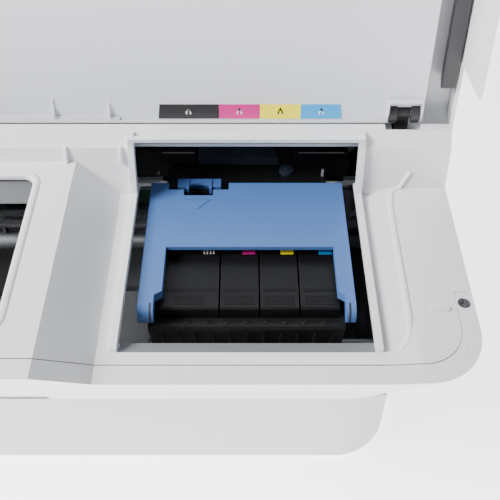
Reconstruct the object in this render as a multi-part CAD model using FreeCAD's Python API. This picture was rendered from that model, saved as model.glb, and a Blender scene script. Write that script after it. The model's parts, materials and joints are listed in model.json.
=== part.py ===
"""Compact 24-inch four-colour inkjet printer with its access lid open.

Frame: +X to the user's right, +Y to the back, +Z up, millimetres. The origin is the centre of the
outline at floor level. The lid stands open on its stop; every other moving piece is at home.
"""
import FreeCAD, Part
import math
import os

V = FreeCAD.Vector
AX = V(1, 0, 0)
AY = V(0, 1, 0)
AZ = V(0, 0, 1)

# Driving dimensions of the casing
HALF_W = 481.0            # half width of the body at its top edge
LID_HALF_W = 485.0        # the closed lid overhangs the body ends
BACK_Y = 252.5            # rear wall
TOP_Z = 230.0             # flat top of the rear housing and the closed lid
SPLIT_Z = 80.0            # base tray below, covers above
BASE_Z = 4.0              # underside of the base tray, the height of the feet
WALL = 2.5
SEAM_GAP = 0.6
LEFT_Z = 190.3            # left plateau, around the platen window
SHELF_Z = 165.0           # sunken strip around the cartridge bay
RIGHT_Z = 170.0           # right plateau
FRONT_Y = -239.0          # front top edge where it is at SHELF_Z
FRONT_SLOPE = 0.534       # the front face is undercut, mm of Y per mm of Z
SIDE_SLOPE = 0.356        # the ends are undercut too
CORNER_R = 40.0
BAND = 13.5               # fixed front band in front of the seam
END_BAND = 11.0
JOG_Y = -175.0            # behind this line the top cover reaches the ends
PRISM_LOW_Z = 4.0
SCREW_X, SCREW_Y = 475.0, -184.0

STAND_X, STAND_YS = 330.0, (-130.0, 225.0)    # blind holes for a floor stand

# Cartridge bay
BAY_X = 344.0
BAY_HALF = 75.0
BAY_FRONT_Y = -217.0
KINK_Y = -83.0            # foot of the rear slope
BAY_BACK_Z = 204.5        # rear top edge of the bay opening
RIM_W = 4.0
RIM_H = 3.5
LEDGE_Y = -60.0
LEDGE_Z = 208.5

# Platen window in the left plateau
WIN_X0, WIN_X1 = -411.0, 204.0
WIN_Y0, WIN_Y1 = -218.0, -93.0

# Lid hinge
HINGE_Y, HINGE_Z = -53.5, 214.0
HINGE_R = 16.0
LID_OPEN = 96.0
LINER_Z = 209.5
LINER_END_Y = -48.0       # the liner's lower edge runs on below the hinge line
BRACKET_XS = (-448.0, -150.0, 150.0, 449.0)

# Paper path
MEDIA_X0, MEDIA_X1 = -405.0, 205.0
PLATEN_Z = 90.0
FEED_Y, FEED_Z, FEED_R = -50.0, 86.0, 9.0
PINCH_Y, PINCH_Z, PINCH_R = -47.0, 100.0, 5.0
EXIT_Y, EXIT_Z, EXIT_R = -158.0, 83.0, 7.0
STAR_Z, STAR_R = 97.0, 6.0
SLOT_Z1 = 97.0
FRAME_X = 436.0

# Carriage drive
SHAFT_Y, SHAFT_Z, SHAFT_R = -22.0, 122.0, 6.0
BELT_Y, BELT_Z, PULLEY_R = 2.0, 146.0, 9.0
PULLEY_X = 418.0
PIVOT_Y, PIVOT_Z = -166.0, 137.0
COVER_Z = 160.0

# Roll holder
ROLL_Y, ROLL_Z = 140.0, 135.0
ROLL_COVER_Y0, ROLL_COVER_Y1 = 49.0, 238.0
ROLL_HINGE_Y, ROLL_HINGE_Z = 233.0, 225.0
FLANGE_R = 70.0

# Control panel in the left of the front face
PANEL_X0, PANEL_X1 = -419.0, -299.0
PANEL_TOP_Z = 178.0
PANEL_LEN = 64.0
BUTTON_X, BUTTON_Z, BUTTON_R = -270.0, 150.0, 7.0

CARTRIDGES = (("black", -55.4, -17.8), ("magenta", -16.8, 7.8), ("yellow", 8.8, 33.4), ("cyan", 34.4, 59.0))

os.makedirs("parts", exist_ok=True)


# ---------------------------------------------------------------- helpers
def box(x0, x1, y0, y1, z0, z1):
    return Part.makeBox(x1 - x0, y1 - y0, z1 - z0, V(x0, y0, z0))


def rod_x(x0, x1, y, z, r):
    return Part.makeCylinder(r, x1 - x0, V(x0, y, z), AX)


def rod_y(y0, y1, x, z, r):
    return Part.makeCylinder(r, y1 - y0, V(x, y0, z), AY)


def rod_z(z0, z1, x, y, r):
    return Part.makeCylinder(r, z1 - z0, V(x, y, z0), AZ)


def tube_x(x0, x1, y, z, r, bore):
    return rod_x(x0, x1, y, z, r).cut(rod_x(x0 - 1, x1 + 1, y, z, bore))


def prism_x(points, x0, x1):
    """Outline of (Y, Z) points carried from x0 to x1."""
    wire = Part.makePolygon([V(x0, y, z) for y, z in points + points[:1]])
    return Part.Face(wire).extrude(V(x1 - x0, 0, 0))


def prism_y(points, y0, y1):
    """Outline of (X, Z) points carried from y0 to y1."""
    wire = Part.makePolygon([V(x, y0, z) for x, z in points + points[:1]])
    return Part.Face(wire).extrude(V(0, y1 - y0, 0))


def prism_z(points, z0, z1):
    """Outline of (X, Y) points carried from z0 to z1."""
    wire = Part.makePolygon([V(x, y, z0) for x, y in points + points[:1]])
    return Part.Face(wire).extrude(V(0, 0, z1 - z0))


def join(shapes):
    body = shapes[0]
    if len(shapes) > 1:
        body = body.multiFuse(shapes[1:])
    return body.removeSplitter()


def group(shapes):
    return Part.makeCompound(shapes)


def mirrored_x(shape):
    return shape.mirror(V(0, 0, 0), AX)


def save(node, shape):
    shape.exportStep(os.path.join("parts", node + ".step"))
    print(node, len(shape.Solids), round(shape.Volume / 1000.0, 1), shape.isValid())


# ---------------------------------------------------------------- casing
def front_y(z):
    return FRONT_Y - (z - SHELF_Z) * FRONT_SLOPE


def right_x(z):
    return HALF_W - (RIGHT_Z - z) * SIDE_SLOPE


def left_x(z):
    return -HALF_W + (LEFT_Z - z) * SIDE_SLOPE


def case_prism(dy, dx, corner_r, low_z=PRISM_LOW_Z, back_y=-60.0):
    """The slanted block inside which the front half of the casing lies, inset by dy and dx."""
    high_z = 196.0
    side = [(front_y(low_z) + dy, low_z), (front_y(high_z) + dy, high_z), (back_y, high_z), (back_y, low_z)]
    ends = [(left_x(low_z) + dx, low_z), (left_x(high_z) + dx, high_z),
            (right_x(high_z) - dx, high_z), (right_x(low_z) - dx, low_z)]
    block = prism_x(side, -520, 520).common(prism_y(ends, -320, 320))
    corners = []
    for edge in block.Edges:
        a, b = edge.Vertexes[0].Point, edge.Vertexes[-1].Point
        if abs(a.z - b.z) > 20 and a.y < back_y - 20 and abs(a.x) > 300:
            corners.append(edge)
    return block.makeFillet(corner_r, corners)


def deck_outline(drop):
    """Top line of the deck across the machine: left plateau, slope, bay shelf, right plateau."""
    return [(-520, LEFT_Z - drop), (BAY_X - 115, LEFT_Z - drop), (BAY_X - 87, SHELF_Z - drop),
            (BAY_X + 85, SHELF_Z - drop), (BAY_X + 97, RIGHT_Z - drop), (520, RIGHT_Z - drop)]


def under_deck(drop, y0=-320.0, y1=KINK_Y + 12):
    return prism_y(deck_outline(drop) + [(520, -5), (-520, -5)], y0, y1)


def rear_band(x0, x1, low_z):
    """Slope and ledge behind the deck, as a bent plate."""
    plate = prism_x([(KINK_Y, SHELF_Z - WALL), (-75.0, 199.7), (-66.5, LEDGE_Z), (LEDGE_Y, LEDGE_Z),
                     (LEDGE_Y, 200.0), (LEDGE_Y - WALL, 200.0), (LEDGE_Y - WALL, LEDGE_Z - WALL),
                     (-65.5, LEDGE_Z - WALL), (-72.6, 198.7), (KINK_Y + WALL, SHELF_Z - WALL)], x0, x1)
    return plate.common(box(x0, x1, -120, 0, low_z, 220))


def bay_hole(grow):
    """L-shaped bay opening, as a block through the deck and up the rear slope."""
    half = BAY_HALF + grow
    z_back = BAY_BACK_Z
    flat = box(BAY_X - half, BAY_X + half, BAY_FRONT_Y - grow, KINK_Y + 5, 150, 178)
    slope = box(BAY_X - half, BAY_X + half, -95, -40, 150, z_back + grow)
    return flat.fuse(slope)


def bay_rim():
    """Raised lip along both sides of the bay and across its rear edge."""
    z_back = BAY_BACK_Z
    line = [(BAY_FRONT_Y, SHELF_Z - 1), (BAY_FRONT_Y, SHELF_Z + RIM_H), (KINK_Y - RIM_H, SHELF_Z + RIM_H),
            (-78.6, z_back - 5), (-74.6, LEDGE_Z), (-68.0, LEDGE_Z), (-75.0, 199.0),
            (KINK_Y + 0.5, SHELF_Z - 1)]
    sides = [prism_x(line, BAY_X - BAY_HALF - RIM_W, BAY_X - BAY_HALF),
             prism_x(line, BAY_X + BAY_HALF, BAY_X + BAY_HALF + RIM_W)]
    across = prism_x([(-75.2, z_back), (-75.6, LEDGE_Z - 0.8), (-72.0, LEDGE_Z - 0.6), (-70.0, z_back)],
                     BAY_X - BAY_HALF - RIM_W, BAY_X + BAY_HALF + RIM_W)
    return join(sides + [across])


def uprights(shape, least):
    """Edges that climb at least that much."""
    return [e for e in shape.Edges if abs(e.Vertexes[0].Z - e.Vertexes[-1].Z) > least]


def window_hole(grow):
    block = box(WIN_X0 - grow, WIN_X1 + grow, WIN_Y0 - grow, WIN_Y1 + grow, 150, 230)
    return block.makeFillet(8.0, uprights(block, 50))


def make_top_cover():
    seam = case_prism(BAND, END_BAND, CORNER_R - END_BAND)
    ends = case_prism(0.0, 0.0, CORNER_R)
    deck = under_deck(0.0).cut(under_deck(WALL))
    front_part = deck.common(seam)
    rear_part = deck.common(ends).common(box(-520, 520, JOG_Y, KINK_Y + 2.0, 100, 200))
    flange = case_prism(0.0, 0.0, CORNER_R).cut(case_prism(0.0, WALL, CORNER_R))
    flange = flange.common(under_deck(0.0)).common(box(-520, 520, JOG_Y, KINK_Y + 1.5, 158.0, 196))
    bands = [rear_band(-HALF_W, BAY_X - 100, LEFT_Z - WALL), rear_band(BAY_X - 115, HALF_W, SHELF_Z - WALL)]
    cheek = prism_x([(KINK_Y, SHELF_Z), (-77.5, LEFT_Z - 1), (-90, LEFT_Z - 1), (-90, SHELF_Z)],
                    BAY_X - 115, BAY_X - 112)
    cheek = cheek.common(under_deck(0.0))
    lip = prism_x([(BAY_FRONT_Y, SHELF_Z), (BAY_FRONT_Y + 11.5, SHELF_Z - 6.6), (BAY_FRONT_Y + 10.5, SHELF_Z - 8.4),
                   (BAY_FRONT_Y - 3, SHELF_Z - 2.4), (BAY_FRONT_Y - 3, SHELF_Z)],
                  BAY_X - BAY_HALF - 3, BAY_X + BAY_HALF + 3)
    body = join([front_part, rear_part, flange, cheek] + bands)
    body = body.cut(bay_hole(0.0))
    body = join([body, bay_rim(), lip])
    body = body.cut(window_hole(0.0))
    bead = rod_z(0, 1.2, 0, 0, 1.5)
    bump = join([box(BAY_X + 111, BAY_X + 120, -190.5, -187.5, RIGHT_Z - 0.5, RIGHT_Z + 1.2),
                 bead.translated(V(BAY_X + 111, -189, RIGHT_Z)), bead.translated(V(BAY_X + 120, -189, RIGHT_Z))])
    body = join([body, bump])
    for x in BRACKET_XS:
        body = body.cut(box(x - 12, x + 12, -66.0, -50, 203, 215))
    return body


def make_front_cover():
    outer = case_prism(0.0, 0.0, CORNER_R)
    inner = case_prism(WALL * 1.13, WALL * 1.06, CORNER_R - WALL)
    shell = outer.common(under_deck(0.0)).cut(inner.common(under_deck(WALL)))
    shell = shell.common(box(-520, 520, -320, JOG_Y - SEAM_GAP, SPLIT_Z + SEAM_GAP, 196))
    seam = case_prism(BAND - SEAM_GAP, END_BAND - SEAM_GAP, CORNER_R - END_BAND + SEAM_GAP, 150.0)
    shell = shell.cut(seam)
    shell = shell.cut(box(MEDIA_X0 - 8, MEDIA_X1 + 8, -320, -100, SPLIT_Z, SLOT_Z1))
    shell = shell.cut(panel_block(1.0, 30.0))
    shell = shell.cut(button_rod(BUTTON_R + 0.5, -6.0, 10.0))
    for s in (-1, 1):
        shell = shell.cut(rod_z(150, 200, s * SCREW_X, SCREW_Y, 4.0))
    return shell


def make_end_cover(side):
    """Side panel, cut to the stepped deck at the front and to the full height at the rear."""
    edge = right_x if side > 0 else left_x
    top = RIGHT_Z if side > 0 else LEFT_Z
    low = SPLIT_Z + SEAM_GAP
    x_top = edge(top)
    ends = [(edge(low), low), (x_top, top), (x_top, TOP_Z - 0.5), (x_top - side * WALL, TOP_Z - 0.5),
            (x_top - side * WALL, top), (edge(low) - side * WALL, low)]
    plate = prism_y(ends, JOG_Y + SEAM_GAP, BACK_Y - WALL)
    outline = [(JOG_Y, low), (JOG_Y, 157.4), (KINK_Y + 3.2, 157.4), (-72.0, 198.0), (-64.0, 205.0), (-64.0, 192.0),
               (-34.5, 192.0), (-34.5, TOP_Z - 3), (236, TOP_Z - 3), (BACK_Y - WALL, 208), (BACK_Y - WALL, low)]
    return plate.common(prism_x(outline, -500, 500))


def make_lower_case():
    """Base tray with an upright rim, foot recesses and stand bosses."""
    low_front = front_y(SPLIT_Z)
    x_left, x_right = left_x(SPLIT_Z), right_x(SPLIT_Z)
    outline = [(x_left, low_front), (x_right, low_front), (x_right, BACK_Y), (x_left, BACK_Y)]
    block = prism_z(outline, BASE_Z, SPLIT_Z)
    block = block.makeFillet(CORNER_R, [e for e in uprights(block, 20) if e.Vertexes[0].Y < 0])
    hollow = prism_z([(x_left + WALL, low_front + WALL), (x_right - WALL, low_front + WALL),
                      (x_right - WALL, BACK_Y - WALL), (x_left + WALL, BACK_Y - WALL)], BASE_Z + 3, SPLIT_Z + 1)
    rims = [e for e in uprights(hollow, 20) if e.Vertexes[0].Y < 0]
    tray = block.cut(hollow.makeFillet(CORNER_R - WALL, rims))
    for x in (-STAND_X, STAND_X):
        for y in STAND_YS:
            tray = tray.fuse(rod_z(BASE_Z, 22, x, y, 8)).cut(rod_z(BASE_Z - 1, 18, x, y, 3.3))
    tray = tray.cut(box(388.0, 416.0, BACK_Y - 5, BACK_Y + 5, 30, 52))
    return tray.removeSplitter()


def make_rear_top_cover():
    """Housing from the hinge trough to the roll cover, with the sheet slot."""
    outline = [(-61.0, 192.0), (-34.5, 192.0), (-34.5, TOP_Z - 3), (-31.5, TOP_Z), (ROLL_COVER_Y0 - 1, TOP_Z),
               (ROLL_COVER_Y0 - 1, 200), (ROLL_COVER_Y0 - 1 - WALL, 200), (ROLL_COVER_Y0 - 1 - WALL, TOP_Z - WALL),
               (-31.5, TOP_Z - WALL), (-32.0, 189.5), (-61.0, 189.5)]
    x = HALF_W - WALL - 0.4
    body = prism_x(outline, -x, x)
    body = body.cut(box(MEDIA_X0, MEDIA_X1, 4, 22, 215, 240))
    return body


def make_rear_cover():
    x = HALF_W - WALL - 0.4
    low = SPLIT_Z + SEAM_GAP
    outline = [(ROLL_COVER_Y1 + 1, TOP_Z - WALL), (ROLL_COVER_Y1 + 1, TOP_Z - 1), (BACK_Y, 208), (BACK_Y, low),
               (BACK_Y - WALL, low), (BACK_Y - WALL, 207)]
    wall = prism_x(outline, -x, x)
    keep = prism_y([(left_x(low), low), (-x, LEFT_Z), (-x, TOP_Z), (x, TOP_Z), (x, RIGHT_Z), (right_x(low), low)],
                   0, 300)
    return join([wall.common(keep)] + roll_cover_brackets())


def make_roll_cover():
    """Lifting cover over the roll, with a finger scoop at its front edge."""
    x = HALF_W - WALL - 1.0
    top = [(ROLL_COVER_Y0, TOP_Z), (ROLL_COVER_Y1 - 2, TOP_Z), (ROLL_COVER_Y1, TOP_Z - 2),
           (ROLL_COVER_Y1, TOP_Z - WALL),
           (ROLL_COVER_Y0 + WALL, TOP_Z - WALL), (ROLL_COVER_Y0 + WALL, TOP_Z - 14), (ROLL_COVER_Y0, TOP_Z - 14)]
    plate = prism_x(top, -x, x)
    scoop = box(-45, 45, ROLL_COVER_Y0 - 1, ROLL_COVER_Y0 + 12, TOP_Z - 20, TOP_Z + 1)
    cup = box(-47, 47, ROLL_COVER_Y0, ROLL_COVER_Y0 + 14, TOP_Z - 14, TOP_Z).cut(
        box(-45, 45, ROLL_COVER_Y0 - 1, ROLL_COVER_Y0 + 12, TOP_Z - 12, TOP_Z + 1))
    plate = join([plate.cut(scoop), cup])
    for px in (-440, 440):
        lug = rod_x(px - 5, px + 5, ROLL_HINGE_Y, ROLL_HINGE_Z, 4.2).fuse(
            box(px - 5, px + 5, ROLL_HINGE_Y - 4.2, ROLL_HINGE_Y + 4.2, ROLL_HINGE_Z, TOP_Z - 1))
        plate = plate.fuse(lug)
        plate = plate.cut(rod_x(px - 6, px + 6, ROLL_HINGE_Y, ROLL_HINGE_Z, 2.05))
        slot_x = px - math.copysign(8.5, px)
        plate = plate.cut(box(slot_x - 2, slot_x + 2, ROLL_HINGE_Y - 8, ROLL_COVER_Y1 + 1, TOP_Z - 5, TOP_Z + 1))
    return plate.removeSplitter()


def roll_cover_brackets():
    """Plates and pins on the rear cover that carry the roll cover."""
    pieces = []
    for px in (-440, 440):
        s = 1 if px > 0 else -1
        inner, outer = px - s * 10, px - s * 7
        plate = prism_x([(ROLL_HINGE_Y - 6, TOP_Z - 60), (ROLL_HINGE_Y - 6, TOP_Z - 4), (ROLL_HINGE_Y + 4, TOP_Z - 4),
                         (BACK_Y - 6, TOP_Z - 20), (BACK_Y - 1, TOP_Z - 24), (BACK_Y - 1, TOP_Z - 60)],
                        min(inner, outer), max(inner, outer))
        ends = sorted((px - s * 8, px + s * 5))
        pieces.append(join([plate, rod_x(ends[0], ends[1], ROLL_HINGE_Y, ROLL_HINGE_Z, 2.0)]))
    return pieces


# ---------------------------------------------------------------- lid, drawn closed and then opened
def lid_plan(inset, z0, z1):
    """Outline of the closed lid seen from above; it narrows in front of the jog."""
    far, near = LID_HALF_W - inset, LID_HALF_W - 16.0 - inset
    r = 29.0 - inset
    y_jog, y_left, y_right = JOG_Y - 1.0 + inset, -238.5 + inset, -225.0 + inset
    x_a, x_b = BAY_X - 115.0, BAY_X - 95.0
    block = prism_z([(far, 0), (far, y_jog), (near, y_jog), (near, y_right), (x_b, y_right), (x_a, y_left),
                     (-near, y_left), (-near, y_jog), (-far, y_jog), (-far, 0)], z0, z1)
    corners = []
    for edge in block.Edges:
        p, q = edge.Vertexes[0], edge.Vertexes[-1]
        if abs(p.Z - q.Z) > 1 and abs(abs(p.X) - near) < 0.1 and p.Y < y_jog - 5:
            corners.append(edge)
    return block.makeFillet(r, corners)


def lid_side(inset, low_z):
    """Closed lid seen from the end: hinge barrel, flat top, long curve down to the front."""
    r = HINGE_R - inset
    top = HINGE_Z + r
    curve_r = 149.5 - inset
    mid = 0.35
    y_arc = -150.0
    p_mid = V(0, y_arc - curve_r * math.sin(mid), top - curve_r * (1 - math.cos(mid)))
    end = 0.68
    p_end = V(0, y_arc - curve_r * math.sin(end), top - curve_r * (1 - math.cos(end)))
    a = V(0, HINGE_Y + r, HINGE_Z)
    b = V(0, HINGE_Y + r * math.sin(math.pi / 4), HINGE_Z + r * math.cos(math.pi / 4))
    c = V(0, HINGE_Y, top)
    d = V(0, y_arc, top)
    edges = [Part.Arc(a, b, c).toShape(), Part.makeLine(c, d), Part.Arc(d, p_mid, p_end).toShape(),
             Part.makeLine(p_end, V(0, p_end.y, low_z)), Part.makeLine(V(0, p_end.y, low_z), V(0, a.y, low_z)),
             Part.makeLine(V(0, a.y, low_z), a)]
    face = Part.Face(Part.Wire(edges))
    return face.extrude(V(1000, 0, 0)).translated(V(-500, 0, 0))


def opened(shape):
    turned = shape.copy()
    turned.rotate(V(0, HINGE_Y, HINGE_Z), AX, -LID_OPEN)
    return turned


def lid_barrel_notches():
    return [box(x - 5.4, x + 5.4, HINGE_Y - 6, HINGE_Y + 20, 190, 236) for x in BRACKET_XS]


def make_lid_shell():
    outer = lid_side(0.0, 150.0).common(lid_plan(0.0, 140, 240))
    inner = lid_side(WALL, 140.0).common(lid_plan(WALL, 130, 245))
    shell = outer.cut(inner)
    shell = shell.cut(box(-500, BAY_X - 100, -300, 0, 100, LEFT_Z + 0.9))
    shell = shell.cut(box(BAY_X - 115, BAY_X - 70, -300, JOG_Y, 100, LEFT_Z + 0.9))
    shell = shell.cut(box(BAY_X - 101, HALF_W + 1.2, -300, 0, 100, RIGHT_Z + 0.9))
    shell = shell.cut(box(HALF_W, 500, -300, 0, 100, RIGHT_Z - 3))
    shell = shell.cut(box(-500, 500, -90, 20, 100, HINGE_Z))
    for notch in lid_barrel_notches():
        shell = shell.cut(notch)
    shell = shell.cut(box(-500, 500, LEDGE_Y - 8, 20, 100, LEDGE_Z + 1))
    grip = box(-60, 60, -240, -226, 180, 194)
    return opened(shell.cut(grip))


def make_lid_liner():
    """Inner panel with a stepped lower flange, stiffening ribs and hinge knuckles."""
    pieces = [box(-462, 462, -203, LINER_END_Y, LINER_Z, LINER_Z + 2.2),
              box(-462, BAY_X - 85, LINER_END_Y - 4.8, LINER_END_Y, LINER_Z - 1, LINER_Z + 1),
              box(BAY_X - 86, BAY_X + 83, LINER_END_Y - 1.9, LINER_END_Y, LINER_Z - 1, LINER_Z + 1),
              box(BAY_X + 82, 462, LINER_END_Y - 4.8, LINER_END_Y, LINER_Z - 1, LINER_Z + 1),
              box(-462, BAY_X - 130, -214, -200, LINER_Z, LINER_Z + 2.2)]
    for x in (-380, -230, -80, BAY_X - 74, BAY_X + 90):
        pieces.append(box(x - 1, x + 1, -198, -80, LINER_Z + 2, LINER_Z + 6))
    for x in BRACKET_XS:
        for s in (-1, 1):
            x0 = x + s * 5.8 if s > 0 else x - 5.8 - 4
            knuckle = box(x0, x0 + 4, -72, HINGE_Y, LINER_Z + 1, HINGE_Z + 6).fuse(
                rod_x(x0, x0 + 4, HINGE_Y, HINGE_Z, 6))
            pieces.append(knuckle.cut(rod_x(x0 - 1, x0 + 5, HINGE_Y, HINGE_Z, 3.0)))
    liner = join(pieces)
    for x in BRACKET_XS:
        liner = liner.cut(box(x - 5.4, x + 5.4, HINGE_Y - 6, HINGE_Y + 20, 190, 236))
        liner = liner.cut(rod_x(x - 11, x + 11, HINGE_Y, HINGE_Z, 3.0))
    return opened(liner)


def make_lid_end_blocks():
    """Dark tapered blocks inside each end of the lid."""
    block = prism_y([(LID_HALF_W - WALL - 11.5, LINER_Z + 1.5), (LID_HALF_W - WALL - 1, LINER_Z + 1.5),
                     (LID_HALF_W - WALL - 3, TOP_Z - WALL - 3), (LID_HALF_W - WALL - 9, TOP_Z - WALL - 3)], -168, -72)
    return group([opened(block), opened(mirrored_x(block))])


def make_ink_label():
    """Slot-order label on the liner: four fields, the outer ends leaning inwards."""
    fields = []
    starts = (-59.0, -18.4, 8.9, 36.2, 63.6)
    low_y, high_y, lean = -50.9, -61.6, 1.2
    for i in range(4):
        x0, x1 = BAY_X + starts[i] + 0.1, BAY_X + starts[i + 1] - 0.1
        top0 = x0 + (lean if i == 0 else 0)
        top1 = x1 - (lean if i == 3 else 0)
        outline = [(x0, low_y), (x1, low_y), (top1, high_y), (top0, high_y)]
        fields.append(opened(prism_z(outline, LINER_Z - 0.35, LINER_Z)))
    return fields


def make_lid_pins():
    return group([opened(rod_x(x - 9.9, x + 9.9, HINGE_Y, HINGE_Z, 2.98)) for x in BRACKET_XS])


def make_hinge_brackets():
    """Upright lugs in the trough; the lid's pins run in them."""
    pieces = []
    for x in BRACKET_XS:
        lug = join([box(x - 4, x + 4, HINGE_Y - 4.5, HINGE_Y + 4.5, 192.05, HINGE_Z), rod_x(x - 4, x + 4, HINGE_Y, HINGE_Z, 5),
                    box(x - 11, x + 11, -60.0, -40, 192.05, 194.5)])
        pieces.append(lug.cut(rod_x(x - 5, x + 5, HINGE_Y, HINGE_Z, 3.03)))
    return group(pieces)


# ---------------------------------------------------------------- frame and paper path
def make_side_frame(side):
    """Pressed steel plate that carries the beam, shaft and rollers."""
    outline = [(-164, 8), (-164, 86), (-166, 104), (-60, 158), (14, 160), (60, 175), (200, 175), (200, 8)]
    x = side * FRAME_X
    plate = prism_x(outline, x - 1, x + 1)
    plate = plate.cut(rod_x(x - 3, x + 3, FEED_Y, FEED_Z, 6.05)).cut(rod_x(x - 3, x + 3, EXIT_Y, EXIT_Z, 4.05))
    plate = plate.cut(rod_x(x - 3, x + 3, SHAFT_Y, SHAFT_Z, SHAFT_R))
    plate = plate.cut(rod_x(x - 3, x + 3, ROLL_Y, ROLL_Z, 12.5)).cut(box(x - 3, x + 3, ROLL_Y - 12.5, ROLL_Y + 12.5, ROLL_Z, 190))
    plate = plate.cut(rod_x(x - 3, x + 3, EXIT_Y, STAR_Z, 2.05))
    foot_x = x - side * 14
    foot = box(min(x, foot_x), max(x, foot_x), -150, 190, 7.05, 9)
    return join([plate, foot])


def make_rail_beam():
    """Folded steel channel behind the carriage, with the post of the idler pulley."""
    post = rod_y(BELT_Y - 6, 15, -PULLEY_X, BELT_Z, 2.45)
    channel = prism_x([(14, 90), (38, 90), (38, 92), (16, 92), (16, 156), (38, 156), (38, 158), (14, 158)],
                      -FRAME_X + 1.05, FRAME_X - 1.05)
    return join([channel, post]).cut(rod_y(10, 20, PULLEY_X, BELT_Z, 4))


def make_guide_shaft():
    return rod_x(-FRAME_X - 4, FRAME_X + 4, SHAFT_Y, SHAFT_Z, SHAFT_R - 0.01)


def make_platen():
    """Ribbed platen under the print line."""
    base = box(MEDIA_X0 - 6, MEDIA_X1 + 6, EXIT_Y + 10, FEED_Y - 11, 72, 86)
    ribs = []
    count = 31
    pitch = (MEDIA_X1 - MEDIA_X0) / (count - 1)
    for i in range(count):
        x = MEDIA_X0 + i * pitch
        ribs.append(box(x - 1.2, x + 1.2, EXIT_Y + 10, FEED_Y - 11, 85, PLATEN_Z))
    ledge = box(MEDIA_X0 - 6, MEDIA_X1 + 6, -108, -100, 85, PLATEN_Z - 1)
    return join([base, ledge] + ribs)


def make_supports():
    """Posts from the tray up to the platen and the capping station."""
    posts = [box(x - 5, x + 5, -130, -80, 7.02, 72) for x in (-380, -100, 180)]
    posts += [bx(-55, -45, -150, -140, 7.02, 58), bx(45, 55, -150, -140, 7.02, 58), bx(-5, 5, -90, -80, 7.02, 58)]
    return group(posts)


def make_feed_roller():
    roller = rod_x(MEDIA_X0 - 8, MEDIA_X1 + 8, FEED_Y, FEED_Z, FEED_R)
    return join([roller, rod_x(-FRAME_X - 2, FRAME_X + 2, FEED_Y, FEED_Z, 6.0)])


def gear_x(x0, x1, y, z, module, teeth, bore, phase=0.0):
    """Spur gear with straight-flanked teeth, axis along X."""
    points = []
    pitch_r = module * teeth / 2.0
    root, tip = pitch_r - 1.15 * module, pitch_r + 0.85 * module
    step = 2 * math.pi / teeth
    for i in range(teeth):
        a = i * step + phase
        for radius, offset in ((root, -0.36), (tip, -0.12), (tip, 0.12), (root, 0.36)):
            angle = a + offset * step
            points.append((y + radius * math.cos(angle), z + radius * math.sin(angle)))
    return prism_x(points, x0, x1).cut(rod_x(x0 - 1, x1 + 1, y, z, bore))


def make_pinch_rollers():
    pieces = []
    for x in pinch_places():
        pieces.append(rod_x(x - 16, x + 16, PINCH_Y, PINCH_Z, PINCH_R).fuse(rod_x(x - 22, x + 22, PINCH_Y, PINCH_Z, 1.5)))
    return group(pieces)


def pinch_places():
    count = 10
    span = (MEDIA_X1 - MEDIA_X0 - 60) / (count - 1)
    return [MEDIA_X0 + 30 + i * span for i in range(count)]


def make_pinch_holder():
    """Two long bars with arms that press the pinch rollers down."""
    bars = [box(-FRAME_X + 1.05, FRAME_X - 1.05, -56, -50, 106, 109),
            box(-FRAME_X + 1.05, FRAME_X - 1.05, -46, -40, 106, 109)]
    pieces = list(bars)
    for x in pinch_places():
        for s in (-19.5, 19.5):
            arm = box(x + s - 1.2, x + s + 1.2, -53, -41, 96.5, 108)
            pieces.append(arm.cut(rod_x(x + s - 2, x + s + 2, PINCH_Y, PINCH_Z, 1.56)))
    return join(pieces)


def make_exit_roller():
    shaft = rod_x(-FRAME_X - 2, FRAME_X + 2, EXIT_Y, EXIT_Z, 4.0)
    tyres = [rod_x(x - 12, x + 12, EXIT_Y, EXIT_Z, EXIT_R) for x in pinch_places()]
    return join([shaft] + tyres)


def make_star_wheels():
    wheels = []
    for x in pinch_places():
        for s in (-6, 6):
            points = []
            teeth = 16
            for i in range(teeth * 2):
                radius = STAR_R if i % 2 == 0 else STAR_R - 1.3
                angle = math.pi * i / teeth
                points.append((EXIT_Y + radius * math.cos(angle), STAR_Z + radius * math.sin(angle)))
            wheels.append(prism_x(points, x + s - 0.5, x + s + 0.5))
    return join([rod_x(-FRAME_X - 2, FRAME_X + 2, EXIT_Y, STAR_Z, 2.0)] + wheels)


def make_exit_guide():
    """Lower lip of the paper exit."""
    return prism_x([(EXIT_Y - 9, 78), (EXIT_Y - 9, 84), (front_y(SPLIT_Z) + 4.2, 82.4), (front_y(SPLIT_Z) + 4.2, 78)],
                   MEDIA_X0 - 6, MEDIA_X1 + 6)


# ---------------------------------------------------------------- carriage
def bx(x0, x1, y0, y1, z0, z1):
    """A box whose X is counted from the centre of the bay."""
    return box(BAY_X + x0, BAY_X + x1, y0, y1, z0, z1)


def make_carriage():
    front = [(-172.8, 141), (-179.0, 141), (-180.0, 138.5), (-179.0, 134), (-176.0, 131), (-171.0, 108), (-165, 108)]
    tub = join([bx(-62.5, 62.8, -172.8, -62, 108, 141), prism_x(front, BAY_X - 62.5, BAY_X + 62.8)])
    for name, x0, x1 in CARTRIDGES:
        tub = tub.cut(bx(x0 - 0.4, x1 + 0.4, -172.4, -74.6, 111, 160))
    back = bx(-58, 58, -62.5, -36, 112.5, 150)
    bearing = bx(-52, 52, -36.2, -8, 111, 150).cut(rod_x(BAY_X - 60, BAY_X + 60, SHAFT_Y, SHAFT_Z, SHAFT_R + 1.5))
    for x0, x1 in ((-63.5, -58.9), (60.2, 63.8)):
        tub = tub.cut(rod_x(BAY_X + x0, BAY_X + x1, PIVOT_Y, PIVOT_Z, 2.0))
    catch = bx(-44, -23, -66.0, -64.0, 140, 152).fuse(bx(-44, -23, -64.1, -62.6, 149.4, 152))
    well = bx(-48, -19, -62.5, -52, 142, 160)
    return join([tub, back.cut(well), bearing, catch, belt_clamp()])


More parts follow.
